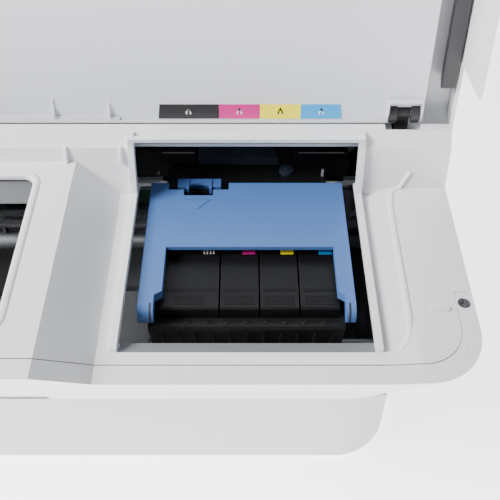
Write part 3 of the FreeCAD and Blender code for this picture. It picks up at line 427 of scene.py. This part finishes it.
def swept(shape, line, profile, closed=False):
    """Carries a closed profile of (side, height) points in millimetres along a line of points in metres."""
    count = len(line)
    rings = []
    for i, spot in enumerate(line):
        before = line[i - 1] if closed or i else spot
        after = line[(i + 1) % count] if closed or i < count - 1 else spot
        ahead = (after - before).normalized()
        side = ahead.cross(Vector((0, 0, 1))).normalized()
        above = side.cross(ahead)
        rings.append([shape.verts.new(spot + (side * a + above * b) * MM) for a, b in profile])
    faces = []
    for i in range(count if closed else count - 1):
        low, high = rings[i], rings[(i + 1) % count]
        for k in range(len(profile)):
            j = (k + 1) % len(profile)
            faces.append(shape.faces.new((low[k], low[j], high[j], high[k])))
    if not closed:
        faces += [shape.faces.new(rings[0]), shape.faces.new(rings[-1])]
    bmesh.ops.recalc_face_normals(shape, faces=faces)
    return shape


def rounded_loop(x0, x1, y0, y1, radius, straight):
    """Points round a rectangle with round corners, with a point at least every straight millimetres."""
    loop = []
    corners = ((x1 - radius, y1 - radius, 0), (x0 + radius, y1 - radius, 90), (x0 + radius, y0 + radius, 180),
               (x1 - radius, y0 + radius, 270))
    for i, (cx, cy, start) in enumerate(corners):
        arc = ring_points(cx, cy, radius, 8, start, 90)
        nx, ny, turn = corners[(i + 1) % 4]
        goal = ring_points(nx, ny, radius, 8, turn, 90)[0]
        run = math.dist(arc[-1], goal)
        parts = max(1, int(run / straight))
        loop += arc
        end_x, end_y = arc[-1]
        for k in range(1, parts):
            loop.append((end_x + (goal[0] - end_x) * k / parts, end_y + (goal[1] - end_y) * k / parts))
    return loop


softened("top_cover", 0.6 * MM, 2, casing)
deck_skin = skin_of("top_cover")
front_skin = skin_of("front_cover")
WINDOW_LEFT, WINDOW_RIGHT, WINDOW_FRONT, WINDOW_REAR = -411, 204, -218, -93
RIM_OUT = 2.6              # from the window's edge to the middle of its rim
rim_path = rounded_loop(WINDOW_LEFT - RIM_OUT, WINDOW_RIGHT + RIM_OUT, WINDOW_FRONT - RIM_OUT,
                        WINDOW_REAR + RIM_OUT, 9.5, 12)
rim = [on_skin(deck_skin, x, y) for x, y in rim_path]
rim_profile = [(-2.2, -1.0), (-2.2, 0.5), (-1.5, 1.0), (-0.5, 1.2), (0.8, 1.1), (1.8, 0.7), (2.5, 0.0),
               (2.5, -1.0)]
finished("window_rim", swept(bmesh.new(), rim, rim_profile, closed=True), casing, "base")
ridge_path = [(110.5, -78.6), (107.5, -79.8), (104.5, -81.2), (101.6, -83.2), (99.2, -87.5), (98.0, -95),
              (97.6, -105), (97.3, -125), (97.3, -150), (97.3, -175), (97.0, -196), (96.0, -206),
              (93.5, -212.5), (89.5, -216)]
ridge_line = [on_skin(deck_skin, BAY + x, y) for x, y in ridge_path]
ridge_profile = [(-2.0, -0.6), (-1.3, 0.25), (0, 0.5), (1.6, 0.3), (3.0, -0.6)]
finished("slope_ridge", swept(bmesh.new(), ridge_line, ridge_profile), casing, "base")
pad_line = [on_skin(front_skin, x, -236.0) for x in (150, 152, 156, 175, 200, 214, 218, 220)]
pad_profile = [(-2.6, -0.6), (-2.4, 0.6), (-1.6, 1.0), (1.6, 1.0), (2.4, 0.6), (2.6, -0.6)]
finished("front_pad", swept(bmesh.new(), pad_line, pad_profile), casing, "base", 0.4 * MM, 2)
dimple_spot = on_skin(front_skin, 467.5, -219.0)
dimple_line = [dimple_spot + Vector((x, y, 0)) * MM for x, y in ring_points(0, 0, 1.9, 24)]
dimple_profile = [(-0.45, -0.3), (-0.3, 0.22), (0.3, 0.22), (0.45, -0.3)]
finished("corner_dimple", swept(bmesh.new(), dimple_line, dimple_profile, closed=True), casing, "base")
# Painted shade: a mid grey strip laid on the white slope in front of the bay, where that slope faces away from
# the light.
lip_shade_paint = plastic("bay_lip_shade_paint", srgb(126, 128, 132), 0.5, 0.6, 0.03, 0.03)
lip_shade_outline = [(-216.7, 165.15), (-205.6, 158.8), (-205.6, 158.3), (-216.7, 164.6)]
lip_shade_strip = prism(bmesh.new(), lip_shade_outline, BAY - 74.7, BAY + 74.7)
finished("bay_lip_shade_strip", lip_shade_strip, lip_shade_paint, "base", 0.12 * MM, 1)
bay_floor = block(bmesh.new(), BAY - 88, BAY - 66, -206, -120, 104, 106)
block(bay_floor, BAY - 88, BAY + 90, -206, -192, 104, 106)
floor_plastic = plastic("bay_floor_plastic", srgb(62, 63, 66), 0.55, 0.6, 0.03, 0.03)
finished("bay_floor_plate", bay_floor, floor_plastic, "base", 0.5 * MM, 2)
slope_fin = [(-77, 190.0), (-80.4, 190.0), (-79.2, 195.0), (-76.2, 201.2), (-74.0, 201.0), (-75.0, 199.0)]
fins = bmesh.new()
for fin_x in (222.2, 258.8):
    prism(fins, slope_fin, fin_x, fin_x + 2.0)
finished("slope_fins", fins, casing, "base", 0.4 * MM, 1)


# ------------------------------------------------------------------ lid
# A thin shell, a grey inner panel with hooks and a stepped flange, and dark soft blocks in its ends.
# All of it hangs on four pins, with a dark clip snapped over each.
LID_ANGLE = math.radians(96.0)
HINGE_Y, HINGE_Z = -53.5, 214
HINGE_PLACES = (-448, -150, 150, 449)
LINER_FACE = 209.8         # height of the liner's inner face while the lid is closed
hinge_line = Vector((0, HINGE_Y, HINGE_Z)) * MM
opening = Matrix.Rotation(-LID_ANGLE, 4, "X")
lid_turn = Matrix.Translation(hinge_line) @ opening @ Matrix.Translation(-hinge_line)
# The liner's light grey is partly its own tone and partly painted shade, as its face lies in shadow under the
# open lid.
liner_with_shade = plastic("liner_with_shade", srgb(212, 214, 218), 0.45, 0.6, 0.02, 0.015)
dark_plastic = plastic("dark_plastic", srgb(44, 44, 46), 0.5, 0.5, 0.03, 0.05)
softened("lid_shell", 0.8 * MM, 2, casing)
softened("lid_liner", 0.5 * MM, 2, liner_with_shade)
softened("lid_end_blocks", 1.2 * MM, 2, dark_plastic)
softened("hinge_brackets", 0.4 * MM, 2, dark_plastic)
hooks = bmesh.new()
for hook_x, reach in ((214.6, 67), (251.6, 63.5)):
    hook = [(-51, LINER_FACE), (-51, 207.9), (-54.5, 206.6), (-58, 207.5), (-60.5, 208.8), (1 - reach, 208.8),
            (-reach, LINER_FACE)]
    prism(hooks, hook, hook_x, hook_x + 2.0, "X", lid_turn)
finished("liner_hooks", hooks, liner_with_shade, "lid", 0.4 * MM, 1)
clips = bmesh.new()
jaw = ring_points(HINGE_Y, HINGE_Z, 8.3, 14, 60, 150) + ring_points(HINGE_Y, HINGE_Z, 6.25, 14, 60, 150)[::-1]
bar = ring_points(HINGE_Y, HINGE_Z, 9.2, 5, 62, 45) + ring_points(HINGE_Y, HINGE_Z, 6.3, 5, 62, 45)[::-1]
for clip_x in HINGE_PLACES:
    for side_x in (clip_x - 10.4, clip_x + 4.6):
        prism(clips, jaw, side_x, side_x + 5.8)
    prism(clips, bar, clip_x - 10.4, clip_x + 10.4)
finished("hinge_clips", clips, dark_plastic, "lid", 0.5 * MM, 2)
pockets = bmesh.new()
arm_plates = bmesh.new()
pocket_side = [(-52, LINER_FACE), (-52, 206.5), (-57, 204.2), (-64.4, 204.2), (-65.6, LINER_FACE)]
pocket_front = [(-64.2, LINER_FACE), (-64.2, 204.6), (-65.4, 204.6), (-65.6, LINER_FACE)]
arm_plate = [(-65.9, 203.0), (-65.9, 203.5), (-59.2, 203.9), (-59.2, 203.0)]
for pocket_x in HINGE_PLACES:
    for wall_x in (pocket_x - 11.8, pocket_x + 10.6):
        prism(pockets, pocket_side, wall_x, wall_x + 1.2, "X", lid_turn)
    prism(pockets, pocket_front, pocket_x - 11.6, pocket_x + 11.6, "X", lid_turn)
    prism(arm_plates, arm_plate, pocket_x - 10.8, pocket_x + 10.8)
finished("hinge_pockets", pockets, liner_with_shade, "lid", 0.3 * MM, 1)
finished("hinge_arm_plates", arm_plates, dark_plastic, "base", 0.4 * MM, 2)


# ------------------------------------------------------------------ slot-order label
# A film strip stuck to the lid's liner: four fields in the ink colours, each with a drop printed on
# it. Its outer ends lean, and the fields follow the order of the cartridges below it.
def film(name, colour):
    material, start = finish(name, Coat_Weight=0.3)
    start.noise(30.0, 3.0).blend(shaded(colour, 0.96), shaded(colour, 1.03)).feed("Base Color")
    (start.noise(400.0) * 0.12 + 0.3).feed("Roughness")
    start.noise(900.0).relief(0.15, 0.01 * MM)
    return material


INK_COLOURS = {"black": (18, 18, 20), "magenta": (208, 20, 132), "yellow": (250, 236, 20),
               "cyan": (24, 158, 226)}
ink_film = {ink: film(ink + "_film", srgb(*colour)) for ink, colour in INK_COLOURS.items()}
white_film = film("white_film", srgb(240, 240, 240))
FIELD_ENDS = (-59.0, -18.4, 8.9, 36.2, 63.6)      # from the middle of the bay
FIELD_GAP = 0.05
END_LEAN = 1.2
for place, ink in enumerate(INK_COLOURS):
    left, right = BAY + FIELD_ENDS[place] + FIELD_GAP, BAY + FIELD_ENDS[place + 1] - FIELD_GAP
    top_left = left + (END_LEAN if ink == "black" else 0)
    top_right = right - (END_LEAN if ink == "cyan" else 0)
    field = prism(bmesh.new(), [(left, -50.9), (right, -50.9), (top_right, -61.6), (top_left, -61.6)],
                  209.1, 209.46, "Z", lid_turn)
    finished("label_field_" + ink, field, ink_film[ink], "lid")
    middle = (left + right) / 2
    drop_line = ring_points(middle, -55.5, 1.9, 24, -235, 290) + [(middle, -59.6)]
    drop = prism(bmesh.new(), drop_line, 208.98, 209.12, "Z", lid_turn)
    drop_paint = ink_film["black"] if ink == "yellow" else white_film
    finished("label_drop_" + ink, drop, drop_paint, "lid")
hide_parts("ink_label")


# ------------------------------------------------------------------ side frames, beam and guide shaft
# Pressed zinc-plated plates, a dark folded beam with two rows of stakes, and a ground steel shaft.
# The wall that shows through the window hangs from the deck in front of the beam; its mid grey is painted shade
# on light plastic.
def metal(name, dark, light, roughness, brush=(0.04, 1, 1), scale=900.0, depth=0.004):
    """Bare metal with a brushed grain: the grain runs where the brush's stretch is small."""
    material, start = finish(name, Metallic=1.0)
    start.noise(35.0, 3.0).blend(srgb(*dark), srgb(*light)).feed("Base Color")
    (start.noise(scale, 2.0, brush) * 0.2 + (roughness - 0.1)).feed("Roughness")
    start.noise(scale, 2.0, brush).relief(0.3, depth * MM)
    return material


zinc = metal("zinc_plate", (150, 152, 156), (190, 192, 196), 0.38)
ground_steel = metal("ground_steel", (196, 197, 199), (220, 221, 222), 0.16, (1, 0.05, 0.05), 700.0, 0.002)
turned_brass = metal("turned_brass", (176, 140, 76), (206, 170, 98), 0.28)
grit_metal = metal("grit_roller", (134, 136, 139), (158, 160, 163), 0.55, (1, 1, 1), 1800.0, 0.05)
beam_coat = plastic("beam_coat", srgb(44, 45, 48), 0.4, 0.9, 0.03, 0.06)
black_plastic = plastic("black_plastic", srgb(17, 17, 18), 0.45, 0.5, 0.03, 0.08)
roller_rubber = plastic("roller_rubber", srgb(52, 52, 54), 0.72, 0.4, 0.03, 0.06)


def repaint(paint, *nodes):
    """Gives CAD nodes whose shape is right a better material."""
    for node in nodes:
        thing = frame["nodes"][node]
        for index in range(len(thing.material_slots)):
            thing.material_slots[index].material = paint


for frame_node in ("side_frame_left", "side_frame_right"):
    softened(frame_node, 0.3 * MM, 1, zinc)
softened("rail_beam", 0.5 * MM, 1, beam_coat)
repaint(ground_steel, "guide_shaft", "lid_pins", "cover_pins")
rows_on("base", "motor_steel", "beam_stakes", prism(bmesh.new(), ring_points(0, 0, 2.6, 16), -0.9, 0.1, "Y"),
        zinc, 20, (-400, 14, 100), (42, 0, 0), 2, (0, 0, 46), 0.25 * MM)
window_wall = bmesh.new()
block(window_wall, -424, 214, -90.5, -88.6, 163.5, 184)
# Painted shade: the wall is light plastic in shadow, coloured mid grey.
wall_shade_paint = plastic("window_wall_shade_paint", srgb(150, 152, 156), 0.5, 0.6, 0.03, 0.03)
finished("window_inner_wall", window_wall, wall_shade_paint, "base", 0.5 * MM, 2)


# ------------------------------------------------------------------ platen and rollers
# A black ribbed platen, a grit-coated feed roller with its gear, rubber pinch and exit rollers,
# and thin star wheels whose points leave no mark on the wet print.
softened("platen", 0.3 * MM, 1, black_plastic)
repaint(black_plastic, "platen_supports", "print_head")
repaint(grit_metal, "feed_roller")
repaint(roller_rubber, "pinch_rollers", "exit_roller")
repaint(zinc, "star_wheels")
acetal = plastic("gear_acetal", srgb(222, 218, 206), 0.38, 0.4, 0.01, 0.03)
repaint(acetal, "feed_gear", "idler_pulley")
repaint(turned_brass, "feed_pinion", "carriage_bushes")
softened("pinch_holder", 0.3 * MM, 1, grit_metal)
softened("exit_guide", 0.6 * MM, 2, black_plastic)
motor_can = metal("motor_can", (116, 118, 121), (150, 152, 155), 0.34, (1, 0.05, 0.05))
softened("feed_motor", 0.6 * MM, 2, motor_can)
softened("carriage_motor", 0.6 * MM, 2, motor_can)
repaint(zinc, "drive_pulley")


# ------------------------------------------------------------------ carriage
# Black glass-filled tub on the guide shaft. Its rim carries a row of studs, ribs stiffen the front,
# and two black housings with a slate cover between them close the rear.
# The slate colour is partly the head board cover's own dark blue and partly painted shade, as that cover sits
# in shadow at the back of the bay; the hub shares it.
slate_with_shade = plastic("slate_plastic", srgb(50, 58, 72), 0.5, 0.5, 0.03, 0.05)
pin_and_highlight_paint = plastic("pin_and_highlight_paint", srgb(170, 173, 178), 0.4, 0.4, 0.01, 0.03)
softened("carriage_body", 0.6 * MM, 2, black_plastic)
softened("head_board", 0.6 * MM, 2, slate_with_shade)
stud = block(bmesh.new(), -1.6, 1.6, -1.0, 1.0, -0.3, 0.9)
rows_on("carriage", "black_plastic", "rim_studs", stud, black_plastic, 9, (BAY - 50, -176.2, 141), (12.5, 0, 0),
        corner=0.3 * MM)
front_rib = prism(bmesh.new(), [(-175.5, 130.5), (-177.4, 129.5), (-173.2, 109.5), (-171.0, 109.5)], -0.6, 0.6)
rows_on("carriage", "black_plastic", "front_ribs", front_rib, black_plastic, 11, (BAY - 55, 0, 0), (11, 0, 0),
        corner=0.2 * MM)
housings = bmesh.new()
# Painted highlight: pale strips along the housings' top front edges stand in for the light those edges catch.
# The same pale grey colours the carriage pin.
highlight_strips = bmesh.new()
for housing_left, housing_right, highlight_left, highlight_right in ((-66, -37, -64, -39), (36, 77, 39, 74)):
    block(housings, BAY + housing_left, BAY + housing_right, -33.5, -8.5, 138, 153)
    block(highlight_strips, BAY + highlight_left, BAY + highlight_right, -24.0, -22.8, 152.6, 153.3)
finished("carriage_housings", housings, black_plastic, "carriage", 1.0 * MM, 2)
finished("housing_highlight_strips", highlight_strips, pin_and_highlight_paint, "carriage", 0.2 * MM, 1)
hub = prism(bmesh.new(), ring_points(BAY + 29.5, -41.5, 5.2, 28), 149.5, 152.6, "Z")
prism(hub, ring_points(BAY + 29.5, -41.5, 2.2, 20), 152.5, 153.8, "Z")
finished("carriage_hub", hub, slate_with_shade, "carriage", 0.4 * MM, 2)
pin = prism(bmesh.new(), ring_points(BAY + 56, -46, 1.0, 14), 149.5, 156, "Z")
finished("carriage_pin", pin, pin_and_highlight_paint, "carriage", 0.3 * MM, 2)


# ------------------------------------------------------------------ blue retainer and its clip
# A flat cover moulded in blue, with two arms that are slotted at their tips. It turns on pins near
# the tips and its rear swings up once the clip there is pressed.
blue = plastic("retainer_blue", srgb(74, 110, 168), 0.42, 0.5, 0.02, 0.02)
blue_dark = plastic("clip_blue", srgb(66, 100, 158), 0.4, 0.5, 0.02, 0.03)
softened("cartridge_cover", 0.8 * MM, 3, blue)
softened("cover_latch", 0.35 * MM, 2, blue_dark)
arm_slots = bmesh.new()
slot_outside = [(-175.5, 160.06), (-176.6, 160.06), (-180.04, 158.85), (-182.46, 156.04), (-183.26, 152.0),
                (-182.7, 149.4)]
slot_inside = [(-182.0, 149.4), (-182.5, 152.0), (-181.7, 155.7), (-179.6, 158.2), (-176.4, 159.3),
               (-175.5, 159.3)]
for slot_x in (-60.4, 63.2):
    prism(arm_slots, slot_outside + slot_inside, BAY + slot_x, BAY + slot_x + 1.5)
finished("arm_slots", arm_slots, dark_plastic, "ink_cover", 0.15 * MM, 1)


# ------------------------------------------------------------------ ink cartridges
# Four black boxes with a slightly shiny skin. Each has fine grip lines across its top and a printed
# tag in its ink's colour, four short bars on the wide black one.
TOP = 150.0                # height of the cartridges' top faces
cartridge_plastic = plastic("cartridge_plastic", srgb(15, 15, 17), 0.42, 0.4, 0.015, 0.05,
                            Specular_IOR_Level=0.3)
for ink in INK_COLOURS:
    softened("cartridge_" + ink, 0.7 * MM, 2, cartridge_plastic)
    tag_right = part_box("cartridge_" + ink)[1][0] / MM
    tag = bmesh.new()
    if ink == "black":
        for bar in range(4):
            bar_x = tag_right - 11.0 + bar * 2.1
            block(tag, bar_x, bar_x + 1.0, -125.2, -121.8, TOP, TOP + 0.34)
        tag_paint = white_film
    else:
        block(tag, tag_right - 10.6, tag_right - 1.9, -125.5, -121.5, TOP, TOP + 0.34)
        tag_paint = ink_film[ink]
    finished("tag_" + ink, tag, tag_paint, "carriage", 0.08 * MM, 1)
    middle = tag_right - (12.3 if ink != "black" else 18.8)
    grip_line = block(bmesh.new(), -9.5, 9.5, -0.35, 0.35, -0.2, 0.28)
    rows_on("carriage", slot_of("cartridge_" + ink), "grip_" + ink, grip_line, cartridge_plastic, 5,
            (middle, -168.5, TOP), (0, 1.7, 0), corner=0.15 * MM)


# ------------------------------------------------------------------ timing belt and encoder film
# A rubber belt with fine teeth inside its loop, and a clear film with a fine scale behind it.
belt_rubber = plastic("belt_rubber", srgb(30, 30, 31), 0.65, 0.4, 0.03, 0.05)
repaint(belt_rubber, "timing_belt")
tooth = prism(bmesh.new(), [(-0.7, -0.1), (-0.4, 0.6), (0.4, 0.6), (0.7, -0.1)], -3.6, 3.6, "Y")
rows_on("base", "belt_rubber", "belt_teeth", tooth, belt_rubber, 330, (-404, 2, 136.95), (2.45, 0, 0))
scale_film, film_start = finish("encoder_film")
bars = film_start.node("ShaderNodeTexWave", {"bands_direction": "X"},
                       {"Vector": film_start.place(), "Scale": 500.0}, "Fac")
bars.stretched(0.35, 0.65).blend(srgb(150, 156, 163), srgb(200, 205, 210)).feed("Base Color")
(film_start.noise(200.0) * 0.1 + 0.18).feed("Roughness")
repaint(scale_film, "encoder_strip")


# ------------------------------------------------------------------ roll holder
# A dark spindle with two spoked flanges, over a curved trough in mid grey plastic.
softened("spindle_flanges", 0.8 * MM, 2, dark_plastic)
softened("roll_spindle", 0.6 * MM, 2, dark_plastic)
cradle_plastic = plastic("cradle_plastic", srgb(96, 98, 102), 0.55, 0.7, 0.03, 0.04)
softened("roll_cradle", 0.4 * MM, 1, cradle_plastic)


# ------------------------------------------------------------------ service station
# A black box with a rubber cap and a wiper under the parked print head, and the waste ink box.
softened("cap_station", 0.8 * MM, 2, black_plastic)
softened("cap_and_wiper", 0.3 * MM, 1, roller_rubber)
softened("waste_ink_box", 1.2 * MM, 2, cradle_plastic)


# ------------------------------------------------------------------ electronics
# A green board with its parts, and a plated power supply box with punched vent slots.
board_green, board_start = finish("solder_mask")
cells = board_start.node("ShaderNodeTexVoronoi", {"distance": "CHEBYCHEV", "feature": "F1"},
                         {"Vector": board_start.place(), "Scale": 260.0}, "Distance")
cells.stretched(0.2, 0.6).blend(srgb(22, 92, 52), srgb(34, 116, 66)).feed("Base Color")
(board_start.noise(300.0) * 0.1 + 0.3).feed("Roughness")
cells.relief(0.2, 0.03 * MM)
softened("main_board", 0.2 * MM, 1, board_green)
softened("power_supply", 0.8 * MM, 2, zinc)
supply_low, supply_high = [[c / MM for c in corner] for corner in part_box("power_supply")]
supply_outline = ring_points(0, 8, 1.2, 6, 0, 180) + ring_points(0, -8, 1.2, 6, 180, 180)
first_vent = ((supply_low[0] + supply_high[0]) / 2 - 27, (supply_low[1] + supply_high[1]) / 2, supply_high[2])
rows_on("base", "zinc_steel", "supply_vents", prism(bmesh.new(), supply_outline, -0.05, 0.25, "Z"),
        black_plastic, 10, first_vent, (6, 0, 0))


# ------------------------------------------------------------------ control panel and button
# A dark tilting housing with a glass touch screen, and a round grey power button beside it.
softened("control_panel", 0.9 * MM, 3, dark_plastic)
softened("panel_bay", 0.4 * MM, 1, cradle_plastic)
screen_glass, glass_start = finish("screen_glass", Coat_Weight=1.0, Coat_Roughness=0.03)
glass_start.noise(3.0).blend(srgb(14, 17, 22), srgb(24, 29, 38)).feed("Base Color")
(glass_start.noise(90.0, 4.0) * 0.08 + 0.06).feed("Roughness")
softened("touch_screen", 0.4 * MM, 2, screen_glass)
button_plastic = plastic("button_plastic", srgb(150, 153, 158), 0.35, 0.4, 0.01, 0.03)
softened("power_button", 0.6 * MM, 3, button_plastic)


# ------------------------------------------------------------------ inlet and screws
# A mains inlet with three blades, and recessed cross-head screws at the front corners.
softened("power_inlet", 0.4 * MM, 1, black_plastic)
softened("screws", 0.25 * MM, 2, motor_can)
